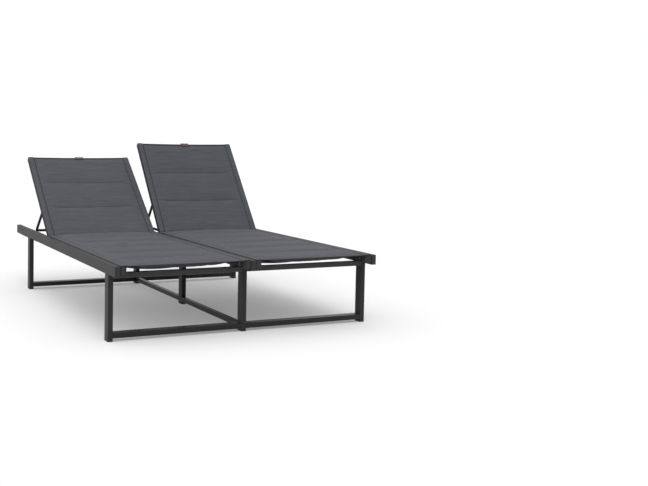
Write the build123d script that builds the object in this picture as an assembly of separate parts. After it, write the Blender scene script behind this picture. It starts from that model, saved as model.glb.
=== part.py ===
from build123d import *
import math
import os

os.makedirs("parts", exist_ok=True)

# ---------------------------------------------------------------------------
# Double chaise lounger.  Millimetres, +Z up, +X to the right seen from the
# foot end, +Y from the foot end to the head end.  The origin is on the floor
# under the middle of the frame.  Both backs are modelled raised: the left one
# at BACK_ANGLE_LEFT, the right one at BACK_ANGLE_RIGHT.
# ---------------------------------------------------------------------------

# overall
WIDTH = 1380.0
LENGTH = 2000.0
RAIL_TOP = 360.0

# rectangular tube of the frame
TUBE_W = 25.0            # narrow side, X
TUBE_H = 50.0            # wide side
WALL = 2.0
CORNER = 1.8             # outside corner radius
CAP_T = 2.5              # plate of a plug or cap
SPIGOT = 14.0            # how far a plug reaches into its tube
SPIGOT_GAP = 0.15

# rails
RAIL_X = WIDTH / 2 - TUBE_W / 2        # 677.5
RAIL_Z0 = RAIL_TOP - TUBE_H            # 310
Y_FOOT = -LENGTH / 2
Y_HEAD = LENGTH / 2

# legs
GLIDE_H = 6.0
FRONT_LEG_Y0 = -904.0
MIDDLE_LEG_Y0 = -128.0
REAR_LEG_Y0 = 648.0
LEG_D = 50.0             # along Y

# crossbars and stretchers
BAR = 25.0
CROSS_Z0 = 293.0
STRETCH_Z0 = 15.0

# seat side tubes
SIDE_GAP = 4.0           # between rail and side tube
SEAT_TUBE_H = 40.0
SIDE_TOP = RAIL_TOP - 1.0              # 359: the sling adds 1 mm on top
SEAT_END_Y = 292.0
SEAT_BOLT_Y = (-940.0, -380.0, 180.0)
SEAT_BOLT_Z = 339.0
SPREADER_Y = (-600.0, -170.0, 262.0)
SPREADER_Z = 331.0       # centre line of their ends
SPREADER_SAG = 42.0

# hinge of the backs
HINGE_Y = 308.0
HINGE_Z = 346.5
BACK_TUBE = 25.0
BACK_LEN = 686.0         # from the hinge to the top end
BACK_ANGLE_LEFT = math.degrees(math.acos(438.0 / 570.0))     # 39.79
BACK_ANGLE_RIGHT = math.degrees(math.acos(356.0 / 570.0))    # 51.35
BOLT_R = 4.0
BUSH_BORE_R = 4.05
BUSH_R = 6.5

# bowed bars
BOW_BAR_D = 18.0
BOW_BAR_WALL = 1.5
BACK_BAR_DROP = 3.5      # their ends sit this far under the tube's centre line
BACK_TOP_BAR_U = 660.0
BACK_CROSS_U = (45.0, 235.0)

# bail
BAIL_D = 16.0
BAIL_U = 285.0           # pivot on the back, also the length of the arms
BAIL_ARM_X = 287.25      # from the middle of the bay
BAIL_BOW = 26.0
BAIL_EYE_R = 10.0
BAIL_EYE_T = 8.0

# racks
RACK_T = 3.0
RACK_Z0 = 297.0
RACK_WEB_TOP = 328.0
RACK_CREST = 338.0
RACK_W = 51.0            # from the rail's inner face to the toothed web's far face
RACK_Y0 = 560.0
RACK_Y1 = 997.0
RACK_TOOTH_Y1 = 905.0
NOTCH_Y = (582.0, 664.0, 746.0, 828.0, 878.0)
NOTCH_W = 17.0
NOTCH_D = 9.0
RACK_SCREW_Y = (592.0, 730.0, 852.0, 975.0)
RACK_SCREW_Z = 319.0

# sling
SLING_TOP = RAIL_TOP
SLING_EDGE_T = 3.0       # thin part next to the tubes, over the eyes of the bail
SLING_MID_Z = 334.0      # underside of the padding in the middle

# bays
INNER_RAIL_FACE = TUBE_W / 2           # 12.5
OUTER_RAIL_FACE = WIDTH / 2 - TUBE_W   # 665
BAY_C = (INNER_RAIL_FACE + OUTER_RAIL_FACE) / 2      # 338.75
BAY_HALF = (OUTER_RAIL_FACE - INNER_RAIL_FACE) / 2   # 326.25
SIDE_OUT = BAY_HALF - SIDE_GAP                        # 322.25
SIDE_IN = SIDE_OUT - TUBE_W                           # 297.25
BAYS = {"left": -BAY_C, "right": BAY_C}
ANGLES = {"left": BACK_ANGLE_LEFT, "right": BACK_ANGLE_RIGHT}


# ---------------------------------------------------------------------------
# helpers
# ---------------------------------------------------------------------------
def block(x0, x1, y0, y1, z0, z1):
    return Pos((x0 + x1) / 2, (y0 + y1) / 2, (z0 + z1) / 2) * Box(x1 - x0, y1 - y0, z1 - z0)


PLANES = {
    "X": lambda p: Plane(origin=p, x_dir=(0, 1, 0), z_dir=(1, 0, 0)),     # local x = Y, local y = Z
    "Y": lambda p: Plane(origin=p, x_dir=(1, 0, 0), z_dir=(0, 1, 0)),     # local x = X, local y = -Z
    "Z": lambda p: Plane(origin=p, x_dir=(1, 0, 0), z_dir=(0, 0, 1)),     # local x = X, local y = Y
}


def bar(axis, start, length, w, h, r=CORNER, wall=None):
    """A straight bar or hollow tube along axis.  start is the middle of its first end."""
    pl = PLANES[axis](start)
    solid = extrude(pl * RectangleRounded(w, h, r), length)
    if wall:
        q = max(r - wall, 0.4)
        solid -= extrude(pl * RectangleRounded(w - 2 * wall, h - 2 * wall, q), length)
    return solid


def rod(axis, start, length, r):
    return extrude(PLANES[axis](start) * Circle(r), length)


def ring(axis, start, length, r, bore):
    pl = PLANES[axis](start)
    return extrude(pl * Circle(r), length) - extrude(pl * Circle(bore), length)


def hexagon(axis, start, length, across, bore):
    pl = PLANES[axis](start)
    body = extrude(pl * RegularPolygon(across / 2, 6, major_radius=False), length)
    return body - extrude(pl * Circle(bore), length)


def plug(axis, end, sign, w, h, wall=WALL):
    """End plug: a plate whose outside face is at end, with a spigot into the tube."""
    e = Vector(*end)
    d = {"X": Vector(1, 0, 0), "Y": Vector(0, 1, 0), "Z": Vector(0, 0, 1)}[axis]
    plate0 = e - d * CAP_T if sign > 0 else e
    spig0 = e - d * (CAP_T + SPIGOT) if sign > 0 else e + d * CAP_T
    p = bar(axis, tuple(plate0), CAP_T, w, h, CORNER)
    face = p.faces().sort_by(getattr(Axis, axis))[-1 if sign > 0 else 0]
    p = chamfer(face.edges(), 0.6)
    g = 2 * (wall + SPIGOT_GAP)
    return p + bar(axis, tuple(spig0), SPIGOT, w - g, h - g, 0.8)


def write(name, shapes):
    if not isinstance(shapes, (list, tuple)):
        shapes = [shapes]
    solids = []
    for s in shapes:
        solids.extend(s.solids())
    out = solids[0] if len(solids) == 1 else Compound(label=name, children=solids)
    out.label = name
    export_step(out, os.path.join("parts", name + ".step"))


def side_x(bay, side):
    """Middle of a side tube.  side -1 is the tube on the bay's left, +1 on its right."""
    return BAYS[bay] + side * (SIDE_OUT - TUBE_W / 2)


def rail_face(bay, side):
    return BAYS[bay] + side * BAY_HALF


def hinge_turn(bay, shape):
    """From the flat position to the raised one."""
    ax = Axis((0, HINGE_Y, HINGE_Z), (1, 0, 0))
    return shape.rotate(ax, ANGLES[bay])


def which(side, bay):
    """outer or inner."""
    return "outer" if (side < 0) == (bay == "left") else "inner"


# ---------------------------------------------------------------------------
# rails
# ---------------------------------------------------------------------------
RAIL_CZ = RAIL_Z0 + TUBE_H / 2
rails = {}
for name, x in (("left_rail", -RAIL_X), ("centre_rail", 0.0), ("right_rail", RAIL_X)):
    rails[name] = bar("Y", (x, Y_FOOT + CAP_T, RAIL_CZ), LENGTH - 2 * CAP_T, TUBE_W, TUBE_H, CORNER, WALL)


def drill(shape, x0, x1, y, z, r):
    return shape - rod("X", (x0, y, z), x1 - x0, r)


for bay in BAYS:
    for side in (-1, 1):
        f = rail_face(bay, side)
        x0, x1 = min(f, f + side * (WALL + 0.5)) - 0.5, max(f, f + side * (WALL + 0.5)) + 0.5
        key = {"left": {-1: "left_rail", 1: "centre_rail"}, "right": {-1: "centre_rail", 1: "right_rail"}}[bay][side]
        for y in SEAT_BOLT_Y:
            rails[key] = drill(rails[key], x0, x1, y, SEAT_BOLT_Z, BOLT_R + 0.1)
        rails[key] = drill(rails[key], x0, x1, HINGE_Y, HINGE_Z, BOLT_R + 0.1)
        for y in RACK_SCREW_Y:
            rails[key] = drill(rails[key], x0, x1, y, RACK_SCREW_Z, 2.6)
for name, s in rails.items():
    write(name, s)

caps = []
for x in (-RAIL_X, 0.0, RAIL_X):
    caps.append(plug("Y", (x, Y_FOOT, RAIL_CZ), -1, TUBE_W, TUBE_H))
    caps.append(plug("Y", (x, Y_HEAD, RAIL_CZ), 1, TUBE_W, TUBE_H))
write("rail_end_caps", caps)

# ---------------------------------------------------------------------------
# legs and glides
# ---------------------------------------------------------------------------
legs = {
    "front_left_leg": (-RAIL_X, FRONT_LEG_Y0),
    "front_centre_leg": (0.0, FRONT_LEG_Y0),
    "front_right_leg": (RAIL_X, FRONT_LEG_Y0),
    "middle_leg": (0.0, MIDDLE_LEG_Y0),
    "rear_left_leg": (-RAIL_X, REAR_LEG_Y0),
    "rear_centre_leg": (0.0, REAR_LEG_Y0),
    "rear_right_leg": (RAIL_X, REAR_LEG_Y0),
}
glides = []
for name, (x, y0) in legs.items():
    yc = y0 + LEG_D / 2
    write(name, bar("Z", (x, yc, GLIDE_H), RAIL_Z0 - GLIDE_H, TUBE_W, LEG_D, CORNER, WALL))
    pad = bar("Z", (x, yc, 0), GLIDE_H, TUBE_W, LEG_D, CORNER)
    low = pad.faces().sort_by(Axis.Z)[0]
    pad = chamfer(low.edges(), 1.0)
    spig = bar("Z", (x, yc, GLIDE_H), 16.0, TUBE_W - 4.3, LEG_D - 4.3, 0.8)
    glides.append(pad + spig)
write("foot_glides", glides)

# ---------------------------------------------------------------------------
# crossbars and stretchers
# ---------------------------------------------------------------------------
SPAN = 2 * BAY_HALF
for bay, xc in BAYS.items():
    x0 = xc - BAY_HALF
    for end, y in (("front", FRONT_LEG_Y0 + BAR / 2), ("rear", REAR_LEG_Y0 + LEG_D - BAR / 2)):
        write(end + "_" + bay + "_crossbar",
              bar("X", (x0, y, CROSS_Z0 + BAR / 2), SPAN, BAR, BAR, CORNER, WALL))
    for end, y in (("front", FRONT_LEG_Y0 + LEG_D / 2), ("rear", REAR_LEG_Y0 + LEG_D / 2)):
        write(end + "_" + bay + "_stretcher",
              bar("X", (x0, y, STRETCH_Z0 + BAR / 2), SPAN, LEG_D, BAR, CORNER, WALL))
for name, y0, y1 in (("centre_front_stretcher", FRONT_LEG_Y0 + LEG_D, MIDDLE_LEG_Y0),
                     ("centre_rear_stretcher", MIDDLE_LEG_Y0 + LEG_D, REAR_LEG_Y0)):
    write(name, bar("Y", (0, y0, STRETCH_Z0 + BAR / 2), y1 - y0, BAR, BAR, CORNER, WALL))

# ---------------------------------------------------------------------------
# seat: side tubes, plugs, spacers, bolts
# ---------------------------------------------------------------------------
SEAT_CZ = SIDE_TOP - SEAT_TUBE_H / 2
plugs, spacers, bolts = [], [], []
for bay in BAYS:
    for side in (-1, 1):
        x = side_x(bay, side)
        t = bar("Y", (x, Y_FOOT + CAP_T, SEAT_CZ), SEAT_END_Y - Y_FOOT - 2 * CAP_T, TUBE_W, SEAT_TUBE_H, CORNER, WALL)
        for y in SEAT_BOLT_Y:
            t = drill(t, x - 20, x + 20, y, SEAT_BOLT_Z, BOLT_R + 0.1)
        write(bay + "_seat_" + which(side, bay) + "_tube", t)
        plugs.append(plug("Y", (x, Y_FOOT, SEAT_CZ), -1, TUBE_W, SEAT_TUBE_H))
        plugs.append(plug("Y", (x, SEAT_END_Y, SEAT_CZ), 1, TUBE_W, SEAT_TUBE_H))
        face = rail_face(bay, side)                      # rail's face, the tube lies inwards of it
        inner = face - side * (SIDE_GAP + TUBE_W)        # tube's far face
        for y in SEAT_BOLT_Y:
            c = lambda xx: (xx, y, SEAT_BOLT_Z)
            a, b = sorted((face, face - side * SIDE_GAP))
            spacers.append(ring("X", c(a), b - a, 9.0, BOLT_R + 0.1))
            a, b = sorted((inner, inner - side * 4.0))
            head = rod("X", c(a), b - a, 6.5)
            a, b = sorted((inner, face + side * 8.2))
            bolts.append(head + rod("X", c(a), b - a, BOLT_R))
            a, b = sorted((face + side * WALL, face + side * (WALL + 5.0)))
            bolts.append(hexagon("X", c(a), b - a, 13.0, BOLT_R + 0.05))
write("seat_tube_plugs", plugs)
write("seat_spacers", spacers)
write("seat_bolts", bolts)


# ---------------------------------------------------------------------------
# bowed bars
# ---------------------------------------------------------------------------
BOW = ((0.0, 0.0), (14.0, 0.0), (72.0, -34.0), (140.0, -42.0))
BOW_MID = -44.0
BOW_R = (34.0, 60.0, 220.0)


def bowed_bar(bay, y, z):
    """Round bar between the inner faces of the side tubes, bent downwards."""
    xc = BAYS[bay]
    left = [(xc - SIDE_IN + d, y, z + v) for d, v in BOW]
    right = [(xc + SIDE_IN - d, y, z + v) for d, v in reversed(BOW)]
    pts = left + [(xc, y, z + BOW_MID)] + right
    path = FilletPolyline(*pts, radius=list(BOW_R) + [900.0] + list(reversed(BOW_R)))
    start = Plane(origin=pts[0], z_dir=(1, 0, 0))
    ro, ri = BOW_BAR_D / 2, BOW_BAR_D / 2 - BOW_BAR_WALL
    b = sweep(start * (Circle(ro) - Circle(ri)), path=path)
    print("bowed bar", bay, round(y), "volume ratio",
          round(b.volume / (math.pi * (ro ** 2 - ri ** 2) * path.length), 4))
    return b


def arched_bar(bay, y):
    """Round bar under the seat, one even arc between the inner faces of the side tubes."""
    xc = BAYS[bay]
    r = (SIDE_IN ** 2 + SPREADER_SAG ** 2) / (2 * SPREADER_SAG)
    mid = SPREADER_Z - SPREADER_SAG
    end = SIDE_IN + 8.0
    z = mid + r - math.sqrt(r ** 2 - end ** 2)
    path = ThreePointArc((xc - end, y, z), (xc, y, mid), (xc + end, y, z))
    ro, ri = BOW_BAR_D / 2, BOW_BAR_D / 2 - BOW_BAR_WALL
    b = sweep(Plane(origin=path @ 0, z_dir=path % 0) * (Circle(ro) - Circle(ri)), path=path)
    return b & block(xc - SIDE_IN, xc + SIDE_IN, y - 20, y + 20, mid - 40, SPREADER_Z + 40)


for bay in BAYS:
    write(bay + "_seat_spreaders", [arched_bar(bay, y) for y in SPREADER_Y])


# ---------------------------------------------------------------------------
# slings
# ---------------------------------------------------------------------------
def sling(bay, y0, y1):
    """Closed solid in the flat position between y0 and y1."""
    xc = BAYS[bay]
    low = SLING_TOP - SLING_EDGE_T
    half = [(-SIDE_OUT, SLING_TOP), (-SIDE_OUT, SIDE_TOP), (-SIDE_IN + 0.2, SIDE_TOP),
            (-SIDE_IN + 0.2, low), (-222.0, low), (-150.0, SLING_MID_Z)]
    pts = half + [(-x, z) for x, z in reversed(half)]
    face = make_face(Polyline(*[Vector(xc + x, y0, z) for x, z in pts], close=True))
    return extrude(face, y1 - y0, dir=(0, 1, 0))


for bay in BAYS:
    write(bay + "_seat_sling", sling(bay, Y_FOOT + 2, SEAT_END_Y))

# ---------------------------------------------------------------------------
# backs
# ---------------------------------------------------------------------------
BACK_Y1 = HINGE_Y + BACK_LEN
hinge_bolts = []
for bay, xc in BAYS.items():
    bushes, tplugs, pins = [], [], []
    for side in (-1, 1):
        x = side_x(bay, side)
        face = rail_face(bay, side)
        tube_out = face - side * SIDE_GAP
        tube_in = tube_out - side * TUBE_W
        # side tube with a solid rounded hinge end
        t = bar("Y", (x, HINGE_Y - BACK_TUBE / 2, HINGE_Z), BACK_LEN + BACK_TUBE / 2 - CAP_T, BACK_TUBE, BACK_TUBE, CORNER)
        t -= bar("Y", (x, HINGE_Y + 12.0, HINGE_Z), BACK_LEN, BACK_TUBE - 2 * WALL, BACK_TUBE - 2 * WALL, 0.5)
        keep = block(x - 13, x + 13, HINGE_Y, BACK_Y1, HINGE_Z - 13, HINGE_Z + 13) \
            + rod("X", (x - 13, HINGE_Y, HINGE_Z), 26, BACK_TUBE / 2)
        t = t & keep
        t = drill(t, x - 20, x + 20, HINGE_Y, HINGE_Z, BUSH_R + 0.05)
        a, b = sorted((tube_in - side * 0.5, tube_in + side * (WALL + 0.5)))
        t = drill(t, a, b, HINGE_Y + BAIL_U, HINGE_Z, BOLT_R + 0.1)
        write(bay + "_back_" + which(side, bay) + "_tube", hinge_turn(bay, t))
        # flanged bush
        c = lambda xx: (xx, HINGE_Y, HINGE_Z)
        a, b = sorted((tube_out, tube_in))
        bush = rod("X", c(a), b - a, BUSH_R)
        a, b = sorted((face - side * 0.2, tube_out))
        bush += rod("X", c(a), b - a, 9.5)
        a, b = sorted((face, tube_in))
        bush -= rod("X", c(a - 1), b - a + 2, BUSH_BORE_R)
        bushes.append(hinge_turn(bay, bush))
        # hinge bolt and its nut inside the rail
        a, b = sorted((tube_in - side * 0.2, tube_in - side * 4.2))
        head = rod("X", c(a), b - a, 7.0)
        a, b = sorted((tube_in - side * 0.2, face + side * 8.2))
        hinge_bolts.append(head + rod("X", c(a), b - a, BOLT_R))
        a, b = sorted((face + side * WALL, face + side * (WALL + 5.0)))
        hinge_bolts.append(hexagon("X", c(a), b - a, 13.0, BOLT_R + 0.05))
        # top plug
        tplugs.append(hinge_turn(bay, plug("Y", (x, BACK_Y1, HINGE_Z), 1, BACK_TUBE, BACK_TUBE)))
        # pin that carries the bail
        cp = lambda xx: (xx, HINGE_Y + BAIL_U, HINGE_Z)
        arm = xc + side * BAIL_ARM_X
        eye_out = arm + side * BAIL_EYE_T / 2
        eye_in = arm - side * BAIL_EYE_T / 2
        a, b = sorted((tube_in, eye_out + side * 0.2))
        pin = rod("X", cp(a), b - a, 6.5)
        a, b = sorted((tube_in + side * (WALL + 6.0), eye_in - side * 0.2))
        pin += rod("X", cp(a), b - a, BOLT_R)
        a, b = sorted((eye_in - side * 0.2, eye_in - side * 3.2))
        pin += rod("X", cp(a), b - a, 6.5)
        pins.append(hinge_turn(bay, pin))
    write(bay + "_back_bushes", bushes)
    write(bay + "_back_tube_plugs", tplugs)
    write(bay + "_bail_pins", pins)
    z = HINGE_Z - BACK_BAR_DROP
    write(bay + "_back_top_bar", hinge_turn(bay, bowed_bar(bay, HINGE_Y + BACK_TOP_BAR_U, z)))
    write(bay + "_back_cross_bars", [hinge_turn(bay, bowed_bar(bay, HINGE_Y + u, z)) for u in BACK_CROSS_U])
    write(bay + "_back_sling", hinge_turn(bay, sling(bay, HINGE_Y + 2, BACK_Y1 - 2)))
    tab = block(xc - 26, xc + 26, BACK_Y1 - 14, BACK_Y1 - 2.5, SLING_TOP, SLING_TOP + 1.2)
    write(bay + "_back_tab", hinge_turn(bay, tab))

    # bail: flat position first, then turned with the back and by twice as much the other way
    py = HINGE_Y + BAIL_U
    w = BAIL_ARM_X
    half = [(-w, 0.0, 0.0), (-w, BAIL_U, 0.0), (-230.0, BAIL_U, 0.0), (-188.0, BAIL_U, -BAIL_BOW)]
    pts = [(xc + x, py + y, HINGE_Z + zz) for x, y, zz in half] + \
          [(xc - x, py + y, HINGE_Z + zz) for x, y, zz in reversed(half)]
    path = FilletPolyline(*pts, radius=[14.0, 28.0, 28.0, 28.0, 28.0, 14.0])
    b = sweep(Plane(origin=pts[0], z_dir=(0, 1, 0)) * Circle(BAIL_D / 2), path=path)
    print("bail", bay, "volume ratio", round(b.volume / (math.pi * (BAIL_D / 2) ** 2 * path.length), 4))
    for side in (-1, 1):
        arm = xc + side * w
        b += rod("X", (arm - BAIL_EYE_T / 2, py, HINGE_Z), BAIL_EYE_T, BAIL_EYE_R)
        # the bar is flattened to the eye's thickness next to it
        for s in (-1, 1):
            far = arm + s * BAIL_EYE_T / 2
            x0, x1 = sorted((far, far + s * 6.0))
            b -= block(x0, x1, py - 12, py + 16, HINGE_Z - 12, HINGE_Z + 12)
        b -= rod("X", (arm - 10, py, HINGE_Z), 20, BUSH_BORE_R)
    b = b.rotate(Axis((0, py, HINGE_Z), (1, 0, 0)), -2 * ANGLES[bay])
    write(bay + "_bail", hinge_turn(bay, b))
write("back_hinge_bolts", hinge_bolts)

# ---------------------------------------------------------------------------
# racks
# ---------------------------------------------------------------------------
CROSS_Y0 = REAR_LEG_Y0 + LEG_D - BAR
screws = []
for bay in BAYS:
    for side in (-1, 1):
        face = rail_face(bay, side)

        def sx(d0, d1):
            return sorted((face - side * d0, face - side * d1))

        a, b = sx(0, RACK_T)
        r = block(a, b, RACK_Y0, RACK_Y1, RACK_Z0, RACK_WEB_TOP)
        a, b = sx(0, RACK_W)
        r += block(a, b, RACK_Y0, RACK_Y1, RACK_Z0, RACK_Z0 + RACK_T)
        a, b = sx(RACK_W - RACK_T, RACK_W)
        r += block(a, b, RACK_Y0, RACK_TOOTH_Y1, RACK_Z0, RACK_CREST)
        tail = block(a, b, RACK_TOOTH_Y1, RACK_Y1, RACK_Z0, RACK_Z0 + 14)
        r += tail
        # chamfered front end
        a, b = sx(-1, RACK_W + 1)
        tri = make_face(Polyline((a, RACK_Y0 - 1, RACK_Z0 - 1), (a, RACK_Y0 + 21, RACK_Z0 - 1),
                                 (a, RACK_Y0 - 1, RACK_Z0 + 13), close=True))
        r -= extrude(tri, b - a, dir=(1, 0, 0))
        # room for the rear crossbar
        r -= block(a, b, CROSS_Y0 - 0.3, CROSS_Y0 + BAR + 0.3, RACK_Z0 - 1, CROSS_Z0 + BAR + 0.3)
        # notches with a lead-in on the head side
        a, b = sx(RACK_W - RACK_T - 1, RACK_W + 1)
        for y in NOTCH_Y:
            n = block(a, b, y - NOTCH_W / 2, y + NOTCH_W / 2, RACK_CREST - NOTCH_D + 4, RACK_CREST + 1)
            n += block(a, b, y - NOTCH_W / 2 + 4, y + NOTCH_W / 2 - 4, RACK_CREST - NOTCH_D, RACK_CREST)
            for s in (-1, 1):
                n += rod("X", (a, y + s * (NOTCH_W / 2 - 4), RACK_CREST - NOTCH_D + 4), b - a, 4.0)
            lead = make_face(Polyline((a, y + NOTCH_W / 2 - 0.5, RACK_CREST - 4), (a, y + NOTCH_W / 2 + 6, RACK_CREST + 1),
                                      (a, y + NOTCH_W / 2 - 0.5, RACK_CREST + 1), close=True))
            n += extrude(lead, b - a, dir=(1, 0, 0))
            r -= n
        for y in RACK_SCREW_Y:
            a, b = sx(-1, RACK_T + 1)
            r = drill(r, a, b, y, RACK_SCREW_Z, 2.6)
            a, b = sx(RACK_T, RACK_T + 2.4)
            head = rod("X", (a, y, RACK_SCREW_Z), b - a, 4.6)
            a, b = sx(RACK_T, -7.0)
            screws.append(head + rod("X", (a, y, RACK_SCREW_Z), b - a, 2.5))
        write(bay + "_" + which(side, bay) + "_rack", r)
write("rack_screws", screws)
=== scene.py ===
import math

import bpy
import numpy as np
from mathutils import Matrix, Vector


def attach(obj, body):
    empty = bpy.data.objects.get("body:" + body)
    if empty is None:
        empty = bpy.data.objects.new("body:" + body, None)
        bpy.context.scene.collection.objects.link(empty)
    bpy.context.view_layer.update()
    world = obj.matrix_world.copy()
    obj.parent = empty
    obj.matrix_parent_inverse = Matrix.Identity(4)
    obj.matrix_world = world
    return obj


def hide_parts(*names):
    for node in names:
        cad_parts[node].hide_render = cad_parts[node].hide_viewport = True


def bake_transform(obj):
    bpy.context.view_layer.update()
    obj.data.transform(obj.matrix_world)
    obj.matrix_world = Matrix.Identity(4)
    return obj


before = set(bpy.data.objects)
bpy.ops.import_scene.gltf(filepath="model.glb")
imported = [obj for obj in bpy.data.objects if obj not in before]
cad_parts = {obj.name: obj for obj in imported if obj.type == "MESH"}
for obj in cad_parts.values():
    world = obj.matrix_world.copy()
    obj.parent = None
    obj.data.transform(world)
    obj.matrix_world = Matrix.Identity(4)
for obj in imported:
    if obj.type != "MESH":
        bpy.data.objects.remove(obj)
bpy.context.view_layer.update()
SCENE = bpy.context.scene

# ---------------------------------------------------------------------------
# sizes in metres, the same as in the construction
# ---------------------------------------------------------------------------
HINGE_Y, HINGE_Z = 0.308, 0.3465
ANGLE = {"left": math.acos(438.0 / 570.0), "right": math.acos(356.0 / 570.0)}
BAY = {"left": -0.33875, "right": 0.33875}
SIDE_OUT, SIDE_IN = 0.32225, 0.29725      # faces of the side tubes, from the middle of the bay
SEAM = 0.2875                             # stitched seam next to the tubes
FOOT_S, HEAD_S = -0.998, 0.991            # ends of the sling along its length, laid flat
TOP_V = 0.0135                            # top of the sling over the hinge axis
CREASE = 0.020                            # half the length that bends over the hinge
HEAD_DRAW = 0.0025                        # how far the middle of the head end is drawn in
PITCH = 0.2168
LINES = [0.316 - PITCH * k for k in range(0, 6)] + [0.316 + 0.229, 0.316 + 0.229 + 0.215]
LINES = sorted(LINES)                     # quilt lines along the length


# ---------------------------------------------------------------------------
# materials
# ---------------------------------------------------------------------------
def material(name):
    m = bpy.data.materials.new(name)
    m.use_nodes = True
    nt = m.node_tree
    for n in list(nt.nodes):
        nt.nodes.remove(n)
    out = nt.nodes.new("ShaderNodeOutputMaterial")
    bsdf = nt.nodes.new("ShaderNodeBsdfPrincipled")
    nt.links.new(bsdf.outputs[0], out.inputs["Surface"])
    return m, nt, bsdf


def node(nt, kind, **inputs):
    n = nt.nodes.new(kind)
    for k, v in inputs.items():
        if k in n.inputs:
            n.inputs[k].default_value = v
        else:
            setattr(n, k, v)
    return n


def mapped(nt, scale, source="Object"):
    if source == "UV":
        tc = nt.nodes.new("ShaderNodeUVMap")
        tc.uv_map = "UVMap"
    else:
        tc = nt.nodes.new("ShaderNodeTexCoord")
    mp = nt.nodes.new("ShaderNodeMapping")
    mp.inputs["Scale"].default_value = scale
    nt.links.new(tc.outputs[source], mp.inputs["Vector"])
    return mp.outputs["Vector"]


def noise(nt, vector, scale, detail=2.0, rough=0.5):
    n = nt.nodes.new("ShaderNodeTexNoise")
    n.inputs["Scale"].default_value = scale
    n.inputs["Detail"].default_value = detail
    n.inputs["Roughness"].default_value = rough
    nt.links.new(vector, n.inputs["Vector"])
    return n.outputs["Fac"]


def ramp(nt, fac, stops):
    r = nt.nodes.new("ShaderNodeValToRGB")
    el = r.color_ramp.elements
    while len(el) < len(stops):
        el.new(0.5)
    for e, (p, c) in zip(el, stops):
        e.position = p
        e.color = (*c, 1.0) if len(c) == 3 else c
    nt.links.new(fac, r.inputs["Fac"])
    return r.outputs["Color"]


def math_node(nt, op, a, b=None, clamp=False):
    n = nt.nodes.new("ShaderNodeMath")
    n.operation = op
    n.use_clamp = clamp
    for i, v in enumerate((a, b)):
        if v is None:
            continue
        if isinstance(v, (int, float)):
            n.inputs[i].default_value = v
        else:
            nt.links.new(v, n.inputs[i])
    return n.outputs[0]


def mix_colour(nt, fac, a, b, blend="MIX"):
    n = nt.nodes.new("ShaderNodeMix")
    n.data_type = "RGBA"
    n.blend_type = blend
    for sock, v in ((n.inputs[0], fac), (n.inputs[6], a), (n.inputs[7], b)):
        if isinstance(v, (int, float)):
            sock.default_value = v
        elif isinstance(v, tuple):
            sock.default_value = (*v, 1.0)
        else:
            nt.links.new(v, sock)
    return n.outputs[2]


def bump(nt, bsdf, height, distance, strength=1.0):
    b = nt.nodes.new("ShaderNodeBump")
    b.inputs["Strength"].default_value = strength
    b.inputs["Distance"].default_value = distance
    nt.links.new(height, b.inputs["Height"])
    nt.links.new(b.outputs["Normal"], bsdf.inputs["Normal"])
    return b


def powder_coat(name, colour, rough=0.58, spread=0.12, grain=1.0, spec=0.36):
    """Fine-textured powder coat: tiny orange peel, faint cloudiness, a little dust in the roughness."""
    m, nt, b = material(name)
    v = mapped(nt, (1, 1, 1))
    fine = noise(nt, v, 1400, 3.0, 0.6)
    peel = noise(nt, v, 420, 2.0, 0.5)
    cloud = noise(nt, v, 5.0, 3.0, 0.55)
    lo = tuple(c * (1 - spread) for c in colour)
    hi = tuple(c * (1 + spread) for c in colour)
    base = ramp(nt, cloud, [(0.3, lo), (0.7, hi)])
    speck = ramp(nt, fine, [(0.35, (0.82, 0.82, 0.82)), (0.65, (1.16, 1.16, 1.17))])
    col = mix_colour(nt, 1.0, base, speck, "MULTIPLY")
    nt.links.new(col, b.inputs["Base Color"])
    r = math_node(nt, "MULTIPLY_ADD", peel, 0.14)
    r.node.inputs[2].default_value = rough - 0.07
    nt.links.new(r, b.inputs["Roughness"])
    b.inputs["Specular IOR Level"].default_value = spec
    h = math_node(nt, "ADD", math_node(nt, "MULTIPLY", fine, 0.45), math_node(nt, "MULTIPLY", peel, 0.75))
    bump(nt, b, h, 0.00016 * grain, 0.9)
    return m


def plastic(name, colour, rough=0.55):
    m, nt, b = material(name)
    v = mapped(nt, (1, 1, 1))
    n1 = noise(nt, v, 900, 2.0)
    n2 = noise(nt, v, 12, 2.0)
    col = ramp(nt, n2, [(0.3, tuple(c * 0.85 for c in colour)), (0.7, tuple(c * 1.15 for c in colour))])
    nt.links.new(col, b.inputs["Base Color"])
    r = math_node(nt, "MULTIPLY_ADD", n2, 0.12)
    r.node.inputs[2].default_value = rough - 0.06
    nt.links.new(r, b.inputs["Roughness"])
    bump(nt, b, n1, 0.00008)
    return m


def steel(name):
    m, nt, b = material(name)
    v = mapped(nt, (60, 900, 900))
    n1 = noise(nt, v, 1.0, 3.0)
    col = ramp(nt, n1, [(0.3, (0.10, 0.10, 0.10)), (0.7, (0.17, 0.17, 0.17))])
    nt.links.new(col, b.inputs["Base Color"])
    b.inputs["Metallic"].default_value = 1.0
    r = math_node(nt, "MULTIPLY_ADD", n1, 0.2)
    r.node.inputs[2].default_value = 0.25
    nt.links.new(r, b.inputs["Roughness"])
    bump(nt, b, n1, 0.00003)
    return m


def map_range(nt, value, a, b, c, d):
    n = nt.nodes.new("ShaderNodeMapRange")
    n.interpolation_type = "SMOOTHSTEP"
    for i, v in enumerate((a, b, c, d)):
        n.inputs[i + 1].default_value = v
    nt.links.new(value, n.inputs[0])
    return n.outputs[0]


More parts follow.
